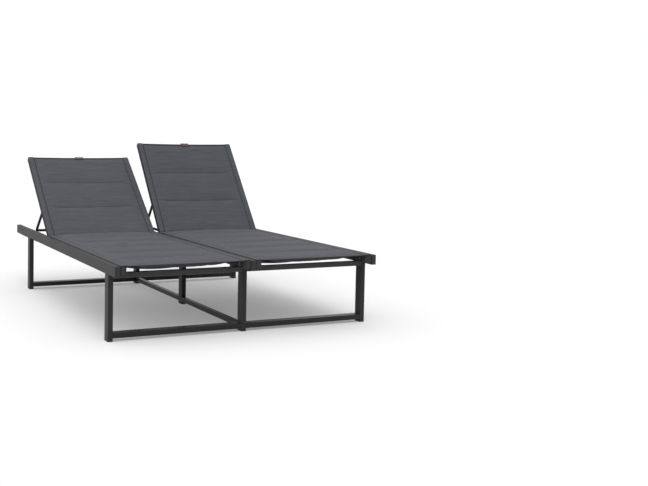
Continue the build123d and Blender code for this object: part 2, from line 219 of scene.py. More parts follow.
def quilt_crease_shade_mask(nt, x, s, half):
    """Mask of the painted shade in the quilt-line creases: 1 on the stitched quilt lines and 0 beside them; it fades
    out before the side seams.
    """
    # the lower cloth is laid out 3 m further along
    s = math_node(nt, "SUBTRACT", s, math_node(nt, "MULTIPLY", math_node(nt, "GREATER_THAN", s, 1.5), 3.0))
    d = None
    for line in LINES:
        e = math_node(nt, "ABSOLUTE", math_node(nt, "SUBTRACT", s, line))
        d = e if d is None else math_node(nt, "MINIMUM", d, e)
    near = map_range(nt, d, half * 0.25, half, 1.0, 0.0)
    side = map_range(nt, math_node(nt, "ABSOLUTE", x), 0.215, 0.262, 1.0, 0.0)
    return math_node(nt, "MULTIPLY", near, side)


def fabric(name, colour, weave=0.0022, streak=1.0, bump_mm=0.28, paint_quilt_crease_shade=False):
    """Woven outdoor mesh: PVC-coated yarns across and along, with slub streaks that run across the lounger."""
    m, nt, b = material(name)
    uv = mapped(nt, (1, 1, 1), "UV")
    sep = nt.nodes.new("ShaderNodeSeparateXYZ")
    nt.links.new(uv, sep.inputs[0])
    x, s = sep.outputs[0], sep.outputs[1]
    k = 2 * math.pi / weave
    # a little waviness in the yarns
    wob = noise(nt, uv, 35, 2.0)
    wobble = math_node(nt, "MULTIPLY", math_node(nt, "SUBTRACT", wob, 0.5), 1.6)
    sx = math_node(nt, "SINE", math_node(nt, "ADD", math_node(nt, "MULTIPLY", x, k * 0.8), wobble))
    ss = math_node(nt, "SINE", math_node(nt, "ADD", math_node(nt, "MULTIPLY", s, k), wobble))
    # plain weave: crossings alternate
    over = math_node(nt, "MULTIPLY", sx, ss)
    ribs = math_node(nt, "ABSOLUTE", math_node(nt, "SINE", math_node(nt, "ADD", math_node(nt, "MULTIPLY", s, k * 0.5), wobble)))
    # streaks: stretched noise at three widths
    st1 = noise(nt, mapped(nt, (12, 620, 1), "UV"), 1.0, 2.0, 0.6)
    st2 = noise(nt, mapped(nt, (8.5, 175, 1), "UV"), 1.0, 2.5, 0.6)
    st3 = noise(nt, mapped(nt, (3.0, 55, 1), "UV"), 1.0, 2.0, 0.5)
    big = noise(nt, uv, 3.5, 3.0, 0.6)
    streaks = math_node(nt, "ADD", math_node(nt, "ADD", math_node(nt, "MULTIPLY", st1, 0.34), math_node(nt, "MULTIPLY", st2, 0.46)),
                        math_node(nt, "MULTIPLY", st3, 0.20))
    d = 0.30 * streak
    tone = ramp(nt, streaks, [(0.34, (1 - d,) * 3), (0.5, (1.0,) * 3), (0.68, (1 + d * 0.9,) * 3)])
    tone2 = ramp(nt, big, [(0.3, (0.95, 0.95, 0.955)), (0.7, (1.05, 1.045, 1.04))])
    yarn = ramp(nt, over, [(0.0, (0.86, 0.86, 0.86)), (0.5, (1.0, 1.0, 1.0)), (1.0, (1.12, 1.12, 1.13))])
    gap = ramp(nt, ribs, [(0.0, (0.52, 0.52, 0.53)), (0.35, (1.0, 1.0, 1.0)), (1.0, (1.06, 1.06, 1.06))])
    c = mix_colour(nt, 1.0, colour, tone, "MULTIPLY")
    c = mix_colour(nt, 1.0, c, tone2, "MULTIPLY")
    c = mix_colour(nt, 1.0, c, yarn, "MULTIPLY")
    c = mix_colour(nt, 0.8, c, gap, "MULTIPLY")
    # painted shade: the cloth colour is darkened along the quilt-line creases
    if paint_quilt_crease_shade:
        c = mix_colour(nt, math_node(nt, "MULTIPLY", quilt_crease_shade_mask(nt, x, s, 0.0034), 0.85), c, (0.62, 0.62, 0.63), "MULTIPLY")
    nt.links.new(c, b.inputs["Base Color"])
    r = math_node(nt, "MULTIPLY_ADD", over, 0.08)
    r.node.inputs[2].default_value = 0.72
    nt.links.new(r, b.inputs["Roughness"])
    b.inputs["Specular IOR Level"].default_value = 0.25
    b.inputs["Sheen Weight"].default_value = 0.02
    b.inputs["Sheen Roughness"].default_value = 0.5
    b.inputs["Sheen Tint"].default_value = (0.75, 0.8, 0.9, 1.0)
    h = math_node(nt, "ADD", math_node(nt, "MULTIPLY", over, 0.25), math_node(nt, "MULTIPLY", ribs, 0.55))
    h = math_node(nt, "ADD", h, math_node(nt, "MULTIPLY", streaks, 1.5))
    bump(nt, b, h, bump_mm / 1000.0)
    return m


FABRIC = (0.0645, 0.0688, 0.0795)
MAT = {
    "frame": powder_coat("powder_coat", (0.0250, 0.0250, 0.0248), spec=0.27),
    # painted shade: the centre rail gets a darker copy of the powder coat, standing in for the shade in the slot
    # between the seats
    "centre": powder_coat("powder_coat_centre_painted_shade", (0.017, 0.017, 0.017), 0.62),
    # painted shade: the legs get a slightly darker copy of the powder coat
    "legs": powder_coat("powder_coat_legs_painted_shade", (0.023, 0.023, 0.023), spec=0.33),
    # painted shade: the low stretchers get much darker copies of the powder coat, darkest for the two under the middle
    "stretchers": powder_coat("powder_coat_stretchers_painted_shade", (0.010, 0.010, 0.010), 0.36),
    "runners": powder_coat("powder_coat_runners_painted_shade", (0.006, 0.006, 0.006), 0.40),
    # painted light: the front crossbars get a lighter copy of the powder coat, standing in for light bounced up from
    # the floor
    "crossbars": powder_coat("powder_coat_crossbars_painted_light", (0.064, 0.064, 0.064), spec=0.40),
    "bars": powder_coat("powder_coat_bars", (0.031, 0.031, 0.031), 0.55),
    "rack": powder_coat("powder_coat_racks", (0.031, 0.031, 0.031), 0.55),
    "rod": powder_coat("powder_coat_rod", (0.018, 0.018, 0.018), 0.42),
    "caps": plastic("cap_plastic", (0.017, 0.017, 0.0175), 0.6),
    "glide": plastic("glide_plastic", (0.018, 0.018, 0.018), 0.6),
    "nylon": plastic("nylon", (0.11, 0.11, 0.11), 0.45),
    "steel": steel("black_zinc_steel"),
    "sling": fabric("sling_weave", FABRIC, paint_quilt_crease_shade=True),
    "sleeve": fabric("sleeve_weave", tuple(c * 0.98 for c in FABRIC)),
    # painted shade: a darker copy of the cloth for the bound edges at foot and head, whose fronts face down and away
    # from the light
    "hem_painted_shade": fabric("hem_cloth_painted_shade", tuple(c * 0.42 for c in FABRIC), weave=0.0012, streak=0.5, bump_mm=0.12),
    # painted shade: a very dark copy of the cloth for the strip in the seam grooves
    "seam": fabric("seam_groove_painted_shade", tuple(c * 0.26 for c in FABRIC), weave=0.0012, streak=0.4, bump_mm=0.1),
    # partly painted shade: a very dark copy of the cloth for the tape down the outer sides of the tubes, partly the
    # tape's own dark colour, partly the shade of the slot beside the rails
    "binding_and_slot_shade": fabric("binding_tape_and_slot_shade", tuple(c * 0.22 for c in FABRIC), weave=0.0012, streak=0.4, bump_mm=0.1),
    "thread": plastic("thread", (0.045, 0.047, 0.053), 0.7),
    "tab": fabric("tab_tape", (0.108, 0.069, 0.067), weave=0.0009, streak=0.6, bump_mm=0.08),
}

# material of each part: its own finish, except where darker and lighter copies of the powder coat paint shade and light
# onto some parts
FINISH_AND_PAINTED_SHADING = {}
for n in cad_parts:
    if n.endswith("_sling") or n.endswith("_tab"):
        continue
    if n in ("rail_end_caps", "seat_tube_plugs") or n.endswith("_back_tube_plugs"):
        FINISH_AND_PAINTED_SHADING[n] = "caps"
    elif n == "foot_glides":
        FINISH_AND_PAINTED_SHADING[n] = "glide"
    elif n == "seat_spacers" or n.endswith("_back_bushes"):
        FINISH_AND_PAINTED_SHADING[n] = "nylon"
    elif n in ("seat_bolts", "rack_screws", "back_hinge_bolts") or n.endswith("_bail_pins"):
        FINISH_AND_PAINTED_SHADING[n] = "steel"
    elif n.endswith("_bail"):
        FINISH_AND_PAINTED_SHADING[n] = "rod"
    elif n.endswith("_rack"):
        FINISH_AND_PAINTED_SHADING[n] = "rack"
    # the centre rail takes the darker copy of the powder coat, painted shade
    elif n == "centre_rail":
        FINISH_AND_PAINTED_SHADING[n] = "centre"
    # the legs take the slightly darker copy of the powder coat, painted shade
    elif n.endswith("_leg"):
        FINISH_AND_PAINTED_SHADING[n] = "legs"
    # the low stretchers take the darker copies of the powder coat, painted shade
    elif n in ("centre_front_stretcher", "centre_rear_stretcher"):
        FINISH_AND_PAINTED_SHADING[n] = "runners"
    elif n.endswith("_stretcher"):
        FINISH_AND_PAINTED_SHADING[n] = "stretchers"
    # the front crossbars take the lighter copy of the powder coat, painted light
    elif n in ("front_left_crossbar", "front_right_crossbar"):
        FINISH_AND_PAINTED_SHADING[n] = "crossbars"
    elif "spreader" in n or n.endswith("_bar") or n.endswith("_cross_bars"):
        FINISH_AND_PAINTED_SHADING[n] = "bars"
    else:
        FINISH_AND_PAINTED_SHADING[n] = "frame"
for n, key in FINISH_AND_PAINTED_SHADING.items():
    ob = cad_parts[n]
    ob.data.materials.clear()
    ob.data.materials.append(MAT[key])


# ---------------------------------------------------------------------------
# meshes
# ---------------------------------------------------------------------------
def smooth(t):
    t = np.clip(t, 0.0, 1.0)
    return t * t * (3 - 2 * t)


def bend(bay, p):
    """Points (x from the middle of the bay, s along the flat sling, v over the hinge axis) to the row frame at rest."""
    p = np.asarray(p, float)
    d = p[:, 1] - HINGE_Y
    a = smooth((d + CREASE) / (2 * CREASE)) * ANGLE[bay]
    c, s = np.cos(a), np.sin(a)
    return np.stack([p[:, 0] + BAY[bay], HINGE_Y + d * c - p[:, 2] * s, HINGE_Z + d * s + p[:, 2] * c], axis=1)


def mesh_object(name, verts, faces, uvs=None, mat=None, smooth_faces=True):
    me = bpy.data.meshes.new(name)
    me.from_pydata([tuple(map(float, v)) for v in verts], [], [tuple(int(i) for i in f) for f in faces])
    me.validate(verbose=False)
    if uvs is not None:
        lay = me.uv_layers.new(name="UVMap")
        idx = np.zeros(len(me.loops), np.int32)
        me.loops.foreach_get("vertex_index", idx)
        lay.data.foreach_set("uv", np.asarray(uvs, np.float32)[idx].ravel())
    if smooth_faces:
        me.polygons.foreach_set("use_smooth", [True] * len(me.polygons))
    me.update()
    ob = bpy.data.objects.new(name, me)
    SCENE.collection.objects.link(ob)
    if mat is not None:
        me.materials.append(mat)
    return ob


def cross_blend(ob):
    """Bakes the object's transform into its mesh."""
    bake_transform(ob)


# --- padded panel ----------------------------------------------------------
PAD_S0, PAD_S1 = -0.9855, 0.979


def dip(x, s):
    """How far the cloth lies below the tops of the tubes between them."""
    across = 1 - (x / SEAM) ** 2
    back = smooth((s - 0.25) / 0.12)
    ends = smooth((s - PAD_S0) / 0.06) * (1 - 0.75 * smooth((s - 0.90) / 0.07))
    return across * (0.0008 + (0.0017 * (1 - back) + 0.0027 * back) * ends)


def belly_width(x, s):
    """Share of the belly across the bay. It ends before the bail's eyes on the back, and over the ends of the
    spreader bars on the seat."""
    back = smooth((s - 0.25) / 0.12)
    seat_w = 1 - smooth((np.abs(x) - 0.17) / 0.11)
    back_w = 1 - smooth((np.abs(x) - 0.15) / 0.075)
    return seat_w * (1 - back) + back_w * back


def pillow(x, s):
    """Shape of the padding: (share of the top crown, share of the belly), before any wrinkles."""
    ax = np.abs(x) / SEAM
    back = smooth((s - 0.27) / 0.09)
    side = np.clip(1 - ax ** 5, 0, 1) ** 0.55            # rises fast from the side seams on the back
    dome = 0.22 * side + 0.78 * np.clip(1 - ax ** 2.1, 0, 1) ** 0.85
    side = side * back + dome * (1 - back)
    edges = [PAD_S0] + LINES + [PAD_S1]
    q = np.zeros_like(s)
    for a, b in zip(edges[:-1], edges[1:]):
        t = (s - a) / (b - a)
        inside = (t >= 0) & (t <= 1)
        t = np.clip(t, 0, 1)
        # the filling hangs towards the foot end of each channel on the back
        warp = np.where(s > HINGE_Y, t ** 0.90, t)
        w = np.clip(1 - np.abs(2 * warp - 1) ** 2.3, 0, 1) ** 0.60
        q = np.where(inside, w, q)
    fade = 1 - smooth((np.abs(x) - 0.205) / 0.057)        # quilt lines die out before the side seams
    end = np.clip(np.minimum(s - PAD_S0, PAD_S1 - s) / 0.034, 0, 1)
    end = np.clip(1 - (1 - end) ** 2.4, 0, 1) ** 0.6
    lane = fade * q + (1 - fade) * (0.80 + 0.20 * q)
    return side * np.minimum(lane, 1.0) * end, belly_width(x, s) * side * np.minimum(0.10 + 0.90 * lane, 1.0) * end


def pad_grid():
    nx = 68
    xs = np.linspace(-SEAM, SEAM, nx)
    edges = [PAD_S0] + LINES + [PAD_S1]
    ss = [PAD_S0]
    for a, b in zip(edges[:-1], edges[1:]):
        # rows lie closer beside the quilt lines
        t = np.linspace(0, 1, 25)[1:]
        t = t + 0.125 * -np.sin(2 * np.pi * t)
        ss += list(a + (b - a) * t)
    return xs, np.array(ss)


def simulate_pad():
    """The two cloths of the padded panel, inflated between the seams and quilt lines, laid flat."""
    xs, ss = pad_grid()
    nx, ns = len(xs), len(ss)
    X, S = np.meshgrid(xs, ss, indexing="ij")
    rng = np.random.default_rng(7)
    crown, belly = pillow(X, S)
    back = smooth((S - 0.25) / 0.12)
    up = (0.0050 + 0.0115 * smooth((S + 0.85) / 1.05)) * (1 - back) + 0.0064 * back
    down = 0.0230 * (1 - back) + 0.0140 * back
    jit = rng.normal(0, 0.00025, X.shape)
    # shallow wrinkles across the seat, where the cloth is slack between the quilt lines
    wander = 0.9 * np.sin(5.1 * X + 1.3) + 0.6 * np.sin(11.0 * X - 2.2 + 3.0 * S) + 0.4 * np.sin(23.0 * X + 7.0 * S)
    folds = 0.00100 * np.sin(2 * np.pi * S / 0.087 + wander) * (0.55 + 0.45 * np.sin(6.3 * X + 9.0 * S + 0.7)) \
        + 0.00052 * np.sin(2 * np.pi * S / 0.041 + 1.7 * wander + 0.9) * (0.5 + 0.5 * np.sin(9.7 * X - 13.0 * S))
    loose = np.clip(crown * 1.4, 0, 1) * (1 - 0.72 * back)
    top = np.stack([X, S, up * crown * 0.8 + folds * loose + jit * (crown > 0.01)], axis=2)
    bot = np.stack([X, S, -down * belly * 0.8 - 0.0009 + jit * (belly > 0.01)], axis=2)
    n = nx * ns
    verts = np.concatenate([top.reshape(-1, 3), bot.reshape(-1, 3)])

    def vid(i, j, layer):
        return layer * n + i * ns + j

    faces = []
    for i in range(nx - 1):
        for j in range(ns - 1):
            faces.append((vid(i, j, 0), vid(i + 1, j, 0), vid(i + 1, j + 1, 0), vid(i, j + 1, 0)))
            faces.append((vid(i, j, 1), vid(i, j + 1, 1), vid(i + 1, j + 1, 1), vid(i + 1, j, 1)))
    for i in range(nx - 1):
        faces.append((vid(i, 0, 0), vid(i, 0, 1), vid(i + 1, 0, 1), vid(i + 1, 0, 0)))
        faces.append((vid(i, ns - 1, 0), vid(i + 1, ns - 1, 0), vid(i + 1, ns - 1, 1), vid(i, ns - 1, 1)))
    for j in range(ns - 1):
        faces.append((vid(0, j, 0), vid(0, j + 1, 0), vid(0, j + 1, 1), vid(0, j, 1)))
        faces.append((vid(nx - 1, j, 0), vid(nx - 1, j, 1), vid(nx - 1, j + 1, 1), vid(nx - 1, j + 1, 0)))

    rest = verts.copy()
    ob = mesh_object("pad_sim", verts, faces)
    pin = np.zeros((nx, ns))
    pin[0, :] = pin[-1, :] = pin[:, 0] = pin[:, -1] = 1.0
    on_line = np.isin(np.round(ss, 6), np.round(LINES, 6))
    lane = 1 - smooth((np.abs(xs) - 0.17) / 0.06)
    pin[:, on_line] = np.maximum(pin[:, on_line], lane[:, None])
    grp = ob.vertex_groups.new(name="pin")
    for layer in (0, 1):
        flat = pin.ravel()
        for k in np.nonzero(flat > 0.001)[0]:
            grp.add([int(layer * n + k)], float(flat[k]), "REPLACE")
    mod = ob.modifiers.new("Cloth", "CLOTH")
    st = mod.settings
    st.quality = 5
    st.mass = 0.25
    st.tension_stiffness = 18.0
    st.compression_stiffness = 12.0
    st.shear_stiffness = 7.0
    st.bending_stiffness = 0.35
    st.tension_damping = st.compression_damping = st.shear_damping = 8.0
    st.bending_damping = 0.6
    st.air_damping = 2.0
    st.use_pressure = True
    st.uniform_pressure_force = 2.2
    st.vertex_group_mass = "pin"
    st.pin_stiffness = 2.0
    st.shrink_min = -0.018
    st.shrink_max = -0.018
    st.effector_weights.gravity = 0.0
    mod.collision_settings.use_collision = False
    mod.collision_settings.use_self_collision = False
    first = SCENE.frame_current
    for f in range(1, 17):
        SCENE.frame_set(f)
    ev = ob.evaluated_get(bpy.context.evaluated_depsgraph_get())
    co = np.zeros(len(verts) * 3, np.float32)
    ev.data.vertices.foreach_get("co", co)
    co = co.reshape(-1, 3).astype(float)
    SCENE.frame_set(first)
    bpy.data.objects.remove(ob, do_unlink=True)
    # how far a point may move from the drawn shape
    move = co - rest
    move = np.nan_to_num(move)
    move[:, :2] = np.clip(move[:, :2], -0.003, 0.003)
    move[:, 2] = np.clip(move[:, 2], -0.008, 0.008)
    # the back is drawn tighter between its tubes than the seat, so it puffs up less
    tight = 1 - 0.72 * np.concatenate([back.ravel(), back.ravel()])
    move[:, 2] *= tight
    # the puckers beside the quilt lines are eased, the filling is thin and the cloth is stiff
    z = move[:, 2].reshape(2, nx, ns)
    wide = np.pad(z, ((0, 0), (3, 3), (0, 0)), mode="edge")
    even = sum(w * wide[:, k:k + nx] for k, w in enumerate((0.06, 0.12, 0.20, 0.24, 0.20, 0.12, 0.06)))
    move[:, 2] = (0.40 * z + 0.60 * even).reshape(-1)
    low_side = np.concatenate([np.zeros(n, bool), np.ones(n, bool)])
    room = 0.0004 + 0.0076 * belly_width(rest[:, 0], rest[:, 1])
    move[:, 2] = np.where(low_side, np.maximum(move[:, 2], -room), move[:, 2])
    rest = rest + move
    return xs, ss, rest, faces, n, back.ravel()


XS, SS, PAD, PAD_FACES, PAD_N, PAD_BACK = simulate_pad()


def make_pad(bay):
    flip = 1.0 if bay == "left" else -1.0
    p = PAD.copy()
    p[:, 0] *= flip
    x, s = p[:, 0].copy(), p[:, 1].copy()
    # the taut cloth dips a little between the tubes, and its head end is drawn in
    across = 1 - (x / SEAM) ** 2
    p[:, 2] += TOP_V - 0.0012 - dip(x, s)
    faces = PAD_FACES if flip > 0 else [tuple(reversed(f)) for f in PAD_FACES]
    uv = np.stack([x, s + np.where(np.arange(len(x)) < PAD_N, 0.0, 3.0)], axis=1)
    head = smooth((s - 0.75) / 0.24)
    p[:, 1] -= HEAD_DRAW * across * head
    ob = mesh_object(bay + "_padded_sling", bend(bay, p), faces, uv, MAT["sling"])
    sub = ob.modifiers.new("Subdivision", "SUBSURF")
    sub.levels = sub.render_levels = 1
    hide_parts(bay + "_seat_sling", bay + "_back_sling")
    cross_blend(ob)
    return ob


# --- strips that run along the sling ---------------------------------------
def strip(profile, s_values, shift=None):
    """Closed sweep of a closed (x, v) profile along s. profile may be a function of s."""
    verts, faces, uv = [], [], []
    m = None
    for s in s_values:
        pr = profile(s) if callable(profile) else profile
        m = len(pr)
        acc = 0.0
        for k, (x, v) in enumerate(pr):
            if k:
                acc += math.hypot(x - pr[k - 1][0], v - pr[k - 1][1])
            verts.append((x, s, v))
            uv.append((pr[0][0] + acc, s))
    r = len(s_values)
    for i in range(r - 1):
        for k in range(m):
            a, b = i * m + k, i * m + (k + 1) % m
            faces.append((a, b, b + m, a + m))
    faces.append(tuple(range(m))[::-1])
    faces.append(tuple((r - 1) * m + k for k in range(m)))
    return verts, faces, uv


def join_parts(parts):
    verts, faces, uv = [], [], []
    for v, f, u in parts:
        o = len(verts)
        verts += list(v)
        uv += list(u)
        faces += [tuple(i + o for i in face) for face in f]
    return verts, faces, uv


def skin(path, t):
    """Closed outline of a strip of thickness t whose outer side follows path (x, v), thickened to the right."""
    path = [np.array(p, float) for p in path]
    normals = []
    for i in range(len(path)):
        a = path[max(i - 1, 0)]
        b = path[min(i + 1, len(path) - 1)]
        d = (b - a) / max(np.linalg.norm(b - a), 1e-12)
        normals.append(np.array([d[1], -d[0]]))
    inner = [p + n * t for p, n in zip(path, normals)]
    return [tuple(p) for p in path] + [tuple(p) for p in reversed(inner)]


def along(a, b, step=0.012):
    n = max(2, int(round((b - a) / step)) + 1)
    vals = list(np.linspace(a, b, n))
    if a < HINGE_Y - CREASE and b > HINGE_Y + CREASE:
        vals = sorted(set([round(v, 5) for v in vals] + [round(v, 5) for v in np.linspace(HINGE_Y - CREASE, HINGE_Y + CREASE, 15)]))
    return vals


def arc(cx, cv, r, a0, a1, n=5):
    return [(cx + r * math.cos(math.radians(a0 + (a1 - a0) * i / (n - 1))),
             cv + r * math.sin(math.radians(a0 + (a1 - a0) * i / (n - 1)))) for i in range(n)]


def path_length(pts):
    return sum(math.hypot(b[0] - a[0], b[1] - a[1]) for a, b in zip(pts[:-1], pts[1:]))


def on_seat(s):
    return 1 - float(smooth(np.array((s - 0.262) / 0.05)))


def stand(s):
    """Extra height of the folded seam allowance over the tube, higher on the seat; on the back it slopes outwards."""
    return 0.0020 + 0.0010 * on_seat(s)


def make_sleeves(bay):
    parts, sides = [], []
    widths = []
    T = 0.0009
    for sg in (-1, 1):
        def mirror(path):
            # outlines are written for the right-hand tube and mirrored for the left-hand one
            return [(sg * x, v) for x, v in (path if sg > 0 else list(reversed(path)))]

        # the strip over the top of the tube and down to the seam
        def top_path(s):
            drop = 0.0022
            h, k = stand(s), on_seat(s)
            pts = [(SEAM + 0.0018, TOP_V - drop - 0.0006), (SEAM + 0.0030, TOP_V + h * 0.35 - drop * 0.45), (SEAM + 0.0052, TOP_V + h * 0.8 - 0.0003),
                   (SIDE_IN, TOP_V + h), (0.305, TOP_V + h * (0.80 + 0.18 * k)), (0.3125, TOP_V + h * (0.45 + 0.43 * k))]
            pts += arc(SIDE_OUT - 0.0013, TOP_V + h * 0.7 * k - 0.0022, 0.0022, 82, 0, 5)
            pts += [(SIDE_OUT + 0.0009, 0.004)]
            return pts

        parts.append(strip(lambda s: mirror(skin(top_path(s), T)), along(FOOT_S, HEAD_S)))
        # dark tape over the cut edge, down the outer side of the tube, its colour partly its own and partly painted
        # shade of the slot beside the rail; it stops beside the hinge
        for s0, s1 in ((FOOT_S + 0.002, 0.292), (0.324, HEAD_S - 0.002)):
            def edge_path(s):
                return arc(SIDE_OUT - 0.0011, TOP_V + stand(s) * 0.7 * on_seat(s) - 0.0020, 0.0025, 70, 0, 4) + [(SIDE_OUT + 0.0014, 0.004), (SIDE_OUT + 0.0014, -0.0105)]

            sides.append(strip(lambda s: mirror(skin(edge_path(s), 0.0005)), along(s0, s1, 0.03)))
        # the rest of the sleeve, round the seat tube and round the back tube, open at the hinge
        for s0, s1, low in ((FOOT_S, 0.262, -0.0275), (0.352, HEAD_S - 0.003, -0.0125)):
            o = 0.0009
            pts = [(SIDE_OUT + o, 0.0042)]
            pts += arc(SIDE_OUT - 0.0018, low + 0.0018, 0.0018 + o, 0, -90, 5)
            pts += [(0.310, low - o)]
            pts += arc(SIDE_IN + 0.0018, low + 0.0018, 0.0018 + o, -90, -180, 5)
            pts += [(SIDE_IN - o, 0.000), (SIDE_IN - o - 0.0006, 0.0065), (SEAM + 0.0042, 0.0098), (SEAM + 0.0014, 0.0104)]
            parts.append(strip(mirror(skin(pts, T)), along(s0, s1, 0.03)))
            widths.append((path_length(pts), s1 - s0))
        widths.append((path_length(top_path(0)), HEAD_S - FOOT_S))
    v, f, u = join_parts(parts)
    ob = mesh_object(bay + "_sling_sleeves", bend(bay, v), f, u, MAT["sleeve"], smooth_faces=True)
    cross_blend(ob)
    v, f, u = join_parts(sides)
    edge = mesh_object(bay + "_sleeve_binding_and_slot_shade", bend(bay, v), f, u, MAT["binding_and_slot_shade"], smooth_faces=True)
    cross_blend(edge)
    # both sleeves of a bay, cut flat
    wide = 2 * (path_length(top_path(0)) + widths[0][0])
    return ob


def make_seams(bay):
    """Dark strip laid in the groove between sleeve and padding, painted shade of the groove, and a row of stitches
    beside it on each side of the bay.
    """
    parts = []
    for sg in (-1, 1):
        pts = [(SEAM - 0.0030, TOP_V - 0.0028), (SEAM - 0.001, TOP_V - 0.0022), (SEAM + 0.001, TOP_V - 0.0022), (SEAM + 0.0032, TOP_V - 0.0026),
               (SEAM + 0.0032, TOP_V - 0.0046), (SEAM - 0.0030, TOP_V - 0.0048)]
        if sg < 0:
            pts = [(-x, v) for x, v in reversed(pts)]
        parts.append(strip(pts, along(PAD_S0 - 0.006, PAD_S1 + 0.004)))
    v, f, u = join_parts(parts)
    ob = mesh_object(bay + "_seam_groove_painted_shade", bend(bay, v), f, u, MAT["seam"])
    cross_blend(ob)

    verts, faces, uv = [], [], []
    ring = 6
    pitch, length, r = 0.0052, 0.0040, 0.00042
    for sg in (-1, 1):
        for off, lift in ((0.0062, 0.0),):
            s = FOOT_S + 0.006
            while s < HEAD_S - 0.006:
                x = sg * (SEAM + off)
                o = len(verts)
                prof = [(-0.5, 0.1, -0.55), (-0.36, 0.8, 0.15), (0.0, 1.0, 0.5), (0.36, 0.8, 0.15), (0.5, 0.1, -0.55)]
                for t, rr, hh in prof:
                    for k in range(ring):
                        a = 2 * math.pi * k / ring
                        verts.append((x + r * rr * 1.25 * math.cos(a), s + t * length, TOP_V + lift + 0.85 * stand(s) + r * hh + r * rr * math.sin(a)))
                        uv.append((x, s))
                for i in range(len(prof) - 1):
                    for k in range(ring):
                        a, b = o + i * ring + k, o + i * ring + (k + 1) % ring
                        faces.append((a, a + ring, b + ring, b))
                faces.append(tuple(o + k for k in range(ring)))
                faces.append(tuple(o + (len(prof) - 1) * ring + k for k in range(ring))[::-1])
                s += pitch
    ob2 = mesh_object(bay + "_seam_stitches", bend(bay, verts), faces, uv, MAT["thread"])
    cross_blend(ob2)
    return ob, ob2


def make_quilt_stitches(bay):
    """Rows of stitches that lie in the grooves of the quilt lines, on the top cloth of the padding."""
    verts, faces, uv = [], [], []
    nx, ns = len(XS), len(SS)
    top = PAD[:PAD_N].reshape(nx, ns, 3)
    sg = 1.0 if bay == "left" else -1.0
    ring, pitch, length, r = 5, 0.0056, 0.0044, 0.00048
    prof = [(-0.5, 0.1, -0.6), (-0.34, 0.85, 0.1), (0.0, 1.0, 0.4), (0.34, 0.85, 0.1), (0.5, 0.1, -0.6)]
    for line in LINES:
        j = int(np.argmin(np.abs(SS - line)))
        row = top[:, j]
        x = -0.247
        while x < 0.247:
            h = float(np.interp(x, row[:, 0], row[:, 2]))
            slope = float(np.interp(x + 0.002, row[:, 0], row[:, 2]) - h) / 0.002
            across = 1 - (x / SEAM) ** 2
            base = TOP_V - 0.0012 - float(dip(x, line)) + h + 0.00045
            pull = HEAD_DRAW * across * float(smooth(np.array((line - 0.75) / 0.24)))
            o = len(verts)
            for t, rr, hh in prof:
                for k in range(ring):
                    a = 2 * math.pi * k / ring
                    verts.append((sg * (x + t * length), line - pull + r * rr * 1.2 * math.cos(a),
                                  base + slope * t * length + r * hh + r * rr * math.sin(a)))
                    uv.append((x, line))
            for i in range(len(prof) - 1):
                for k in range(ring):
                    a, b = o + i * ring + k, o + i * ring + (k + 1) % ring
                    faces.append((a, b, b + ring, a + ring) if sg > 0 else (a, a + ring, b + ring, b))
            e0 = tuple(o + k for k in range(ring))
            e1 = tuple(o + (len(prof) - 1) * ring + k for k in range(ring))
            faces.append(e0[::-1] if sg > 0 else e0)
            faces.append(e1 if sg > 0 else e1[::-1])
            x += pitch
    ob = mesh_object(bay + "_quilt_stitches", bend(bay, verts), faces, uv, MAT["thread"])
    cross_blend(ob)
    return ob


def make_hem(bay, where):
    """Bound edge across the foot or head end, in a darker copy of the cloth: painted shade of the edge's front face."""
    n = 72
    xs = np.linspace(-SIDE_IN + 0.0006, SIDE_IN - 0.0006, n)
    verts, faces, uv = [], [], []
    m = 14
    for i, x in enumerate(xs):
        across = max(0.0, 1 - (x / SEAM) ** 2)
        for k in range(m):
            a = 2 * math.pi * k / m
            # flattened tube of cloth: 13 mm wide, 5 mm thick
            du = 0.0066 * math.copysign(abs(math.cos(a)) ** 0.7, math.cos(a))
            dv = math.copysign(abs(math.sin(a)) ** 0.8, math.sin(a))
            if where == "foot":
                s = FOOT_S + 0.0072 + du
                v = TOP_V - 0.0011 + 0.0017 * dv - 0.0008 * across
            else:
                s = HEAD_S - 0.0066 + du - HEAD_DRAW * across
                v = TOP_V - 0.0030 + 0.0036 * dv - 0.0014 * across
            verts.append((x, s, v))
            uv.append((x, s + v))
    for i in range(n - 1):
        for k in range(m):
            a, b = i * m + k, i * m + (k + 1) % m
            faces.append((a, b, b + m, a + m))
    faces.append(tuple(range(m))[::-1])
    faces.append(tuple((n - 1) * m + k for k in range(m)))
    ob = mesh_object(bay + "_" + where + "_hem", bend(bay, verts), faces, uv, MAT["hem_painted_shade"])
    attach(ob, "root" if where == "foot" else bay + "_back")
    return ob


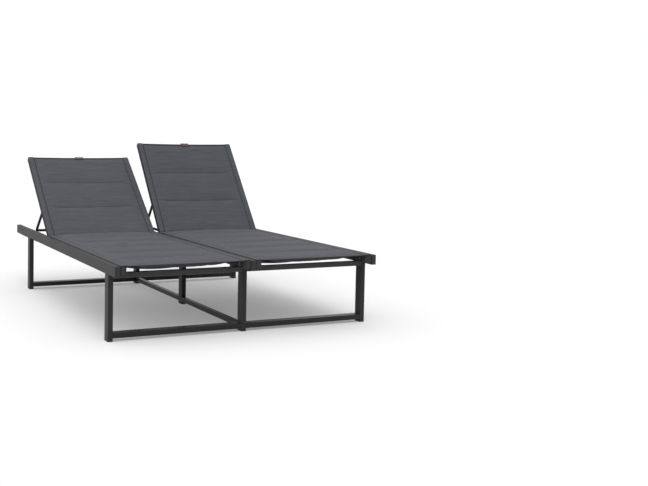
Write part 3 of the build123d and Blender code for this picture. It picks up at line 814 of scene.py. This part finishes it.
def make_tab(bay):
    """Blank folded tape sewn over the middle of the head hem."""
    w, t = 0.026, 0.0011
    c = HEAD_S - 0.0066 - HEAD_DRAW
    path = [(c - 0.0105, TOP_V + 0.0022), (c - 0.004, TOP_V + 0.0016), (c + 0.004, TOP_V + 0.0008), (c + 0.0105, TOP_V - 0.0001),
            (c + 0.0135, TOP_V - 0.0016), (c + 0.0142, TOP_V - 0.0036), (c + 0.0132, TOP_V - 0.0058), (c + 0.010, TOP_V - 0.0072),
            (c + 0.002, TOP_V - 0.0088), (c - 0.009, TOP_V - 0.0096)]
    path = [np.array(p) for p in path]
    outline = [tuple(p) for p in path]
    inner = []
    for i in range(len(path)):
        a, b = path[max(i - 1, 0)], path[min(i + 1, len(path) - 1)]
        d = (b - a) / np.linalg.norm(b - a)
        inner.append(tuple(path[i] + np.array([d[1], -d[0]]) * t))
    sec = outline + inner[::-1]
    xs = list(np.linspace(-w, w, 13))
    verts, faces, uv = [], [], []
    m = len(sec)
    for x in xs:
        acc = 0.0
        for k, (s, v) in enumerate(sec):
            if k:
                acc += math.hypot(s - sec[k - 1][0], v - sec[k - 1][1])
            verts.append((x, s, v - 0.0002))
            uv.append((x, acc))
    for i in range(len(xs) - 1):
        for k in range(m):
            a, b = i * m + k, i * m + (k + 1) % m
            faces.append((a, a + m, b + m, b))
    faces.append(tuple(range(m)))
    faces.append(tuple((len(xs) - 1) * m + k for k in range(m))[::-1])
    ob = mesh_object(bay + "_blank_tab", bend(bay, verts), faces, uv, MAT["tab"])
    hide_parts(bay + "_back_tab")
    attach(ob, bay + "_back")
    return ob


for bay in ("left", "right"):
    make_pad(bay)
    make_sleeves(bay)
    make_seams(bay)
    make_quilt_stitches(bay)
    make_hem(bay, "foot")
    make_hem(bay, "head")
    make_tab(bay)


# ---------------------------------------------------------------------------
# floor, light and camera
# ---------------------------------------------------------------------------
def make_floor():
    t = 30.0
    ob = mesh_object("floor", [(-t, -t, 0), (t, -t, 0), (t, t, 0), (-t, t, 0)], [(0, 1, 2, 3)], smooth_faces=False)
    m, nt, b = material("pale_floor")
    nt.nodes.remove(b)
    out = [n for n in nt.nodes if n.type == "OUTPUT_MATERIAL"][0]
    lp = nt.nodes.new("ShaderNodeLightPath")
    pale = nt.nodes.new("ShaderNodeBsdfDiffuse")
    pale.inputs["Color"].default_value = (0.55, 0.55, 0.552, 1)
    glow = nt.nodes.new("ShaderNodeEmission")
    glow.inputs["Strength"].default_value = 0.23
    seen = nt.nodes.new("ShaderNodeAddShader")
    nt.links.new(pale.outputs[0], seen.inputs[0])
    nt.links.new(glow.outputs[0], seen.inputs[1])
    lit = nt.nodes.new("ShaderNodeBsdfDiffuse")
    lit.inputs["Color"].default_value = (FLOOR_BOUNCE,) * 3 + (1,)
    mix = nt.nodes.new("ShaderNodeMixShader")
    pale_for = math_node(nt, "MAXIMUM", lp.outputs["Is Camera Ray"], lp.outputs["Is Glossy Ray"])
    nt.links.new(pale_for, mix.inputs[0])
    nt.links.new(lit.outputs[0], mix.inputs[1])
    nt.links.new(seen.outputs[0], mix.inputs[2])
    nt.links.new(mix.outputs[0], out.inputs["Surface"])
    ob.data.materials.append(m)


FLOOR_BOUNCE = 0.26
# soft studio light by direction: strength all round, from above, from the left and from behind
LIGHT = dict(all=0.12, above=1.35, left=0.87, behind=0.12, backdrop=0.85)


def make_world():
    w = bpy.data.worlds.new("studio")
    SCENE.world = w
    w.use_nodes = True
    nt = w.node_tree
    for n in list(nt.nodes):
        nt.nodes.remove(n)
    out = nt.nodes.new("ShaderNodeOutputWorld")
    bg = nt.nodes.new("ShaderNodeBackground")
    white = nt.nodes.new("ShaderNodeBackground")
    mix = nt.nodes.new("ShaderNodeMixShader")
    lp = nt.nodes.new("ShaderNodeLightPath")
    white.inputs["Color"].default_value = (1, 1, 1, 1)
    white.inputs["Strength"].default_value = 1.02
    tc = nt.nodes.new("ShaderNodeTexCoord")
    sep = nt.nodes.new("ShaderNodeSeparateXYZ")
    nt.links.new(tc.outputs["Generated"], sep.inputs[0])
    up = math_node(nt, "MAXIMUM", sep.outputs[2], 0.0)
    left = math_node(nt, "MAXIMUM", math_node(nt, "MULTIPLY", sep.outputs[0], -1.0), 0.0)
    behind = math_node(nt, "MAXIMUM", sep.outputs[1], 0.0)
    total = math_node(nt, "ADD", math_node(nt, "MULTIPLY", up, LIGHT["above"]), LIGHT["all"])
    total = math_node(nt, "ADD", total, math_node(nt, "MULTIPLY", left, LIGHT["left"]))
    total = math_node(nt, "ADD", total, math_node(nt, "MULTIPLY", behind, LIGHT["behind"]))
    # the pale backdrop behind the object, low over the floor, as polished faces show it
    low = math_node(nt, "POWER", math_node(nt, "SUBTRACT", 1.0, up), 4.0)
    shine = math_node(nt, "MULTIPLY", math_node(nt, "MULTIPLY", low, behind), lp.outputs["Is Glossy Ray"])
    total = math_node(nt, "ADD", total, math_node(nt, "MULTIPLY", shine, LIGHT["backdrop"]))
    bg.inputs["Color"].default_value = (1.0, 1.0, 1.0, 1)
    nt.links.new(total, bg.inputs["Strength"])
    nt.links.new(lp.outputs["Is Camera Ray"], mix.inputs[0])
    nt.links.new(bg.outputs[0], mix.inputs[1])
    nt.links.new(white.outputs[0], mix.inputs[2])
    nt.links.new(mix.outputs[0], out.inputs["Surface"])


def sun(name, direction, strength, angle):
    li = bpy.data.lights.new(name, "SUN")
    li.energy = strength
    li.angle = math.radians(angle)
    ob = bpy.data.objects.new(name, li)
    ob.rotation_mode = "QUATERNION"
    ob.rotation_quaternion = Vector(direction).to_track_quat("-Z", "Y")
    SCENE.collection.objects.link(ob)
    return ob


def make_camera():
    px, py, pz = -1.99953, -5.01416, 0.96156
    yaw, pitch, roll = (math.radians(a) for a in (-24.8349, -3.1797, 0.9437))
    f = Vector((-math.sin(yaw) * math.cos(pitch), math.cos(yaw) * math.cos(pitch), math.sin(pitch)))
    r = Vector((math.cos(yaw), math.sin(yaw), 0.0))
    u = r.cross(f)
    r2 = r * math.cos(roll) + u * math.sin(roll)
    u2 = u * math.cos(roll) - r * math.sin(roll)
    cam = bpy.data.cameras.new("camera")
    cam.sensor_fit = "HORIZONTAL"
    cam.sensor_width = 36.0
    cam.lens = 948.0304 / 648.0 * 36.0
    cam.shift_x = (324.0 - 228.0) / 648.0
    cam.shift_y = (186.0 - 243.0) / 648.0
    cam.clip_start, cam.clip_end = 0.1, 200.0
    ob = bpy.data.objects.new("camera", cam)
    m = Matrix.Identity(4)
    for i in range(3):
        m[i][0], m[i][1], m[i][2] = r2[i], u2[i], -f[i]
    m[0][3], m[1][3], m[2][3] = px, py, pz
    ob.matrix_world = m
    SCENE.collection.objects.link(ob)
    SCENE.camera = ob


make_floor()
make_world()
sun("overhead", (0.10, 0.62, -1.0), 0.88, 35)
make_camera()

SCENE.view_settings.view_transform = "Standard"
SCENE.view_settings.look = "None"
SCENE.view_settings.exposure = 0.0
SCENE.view_settings.gamma = 1.0
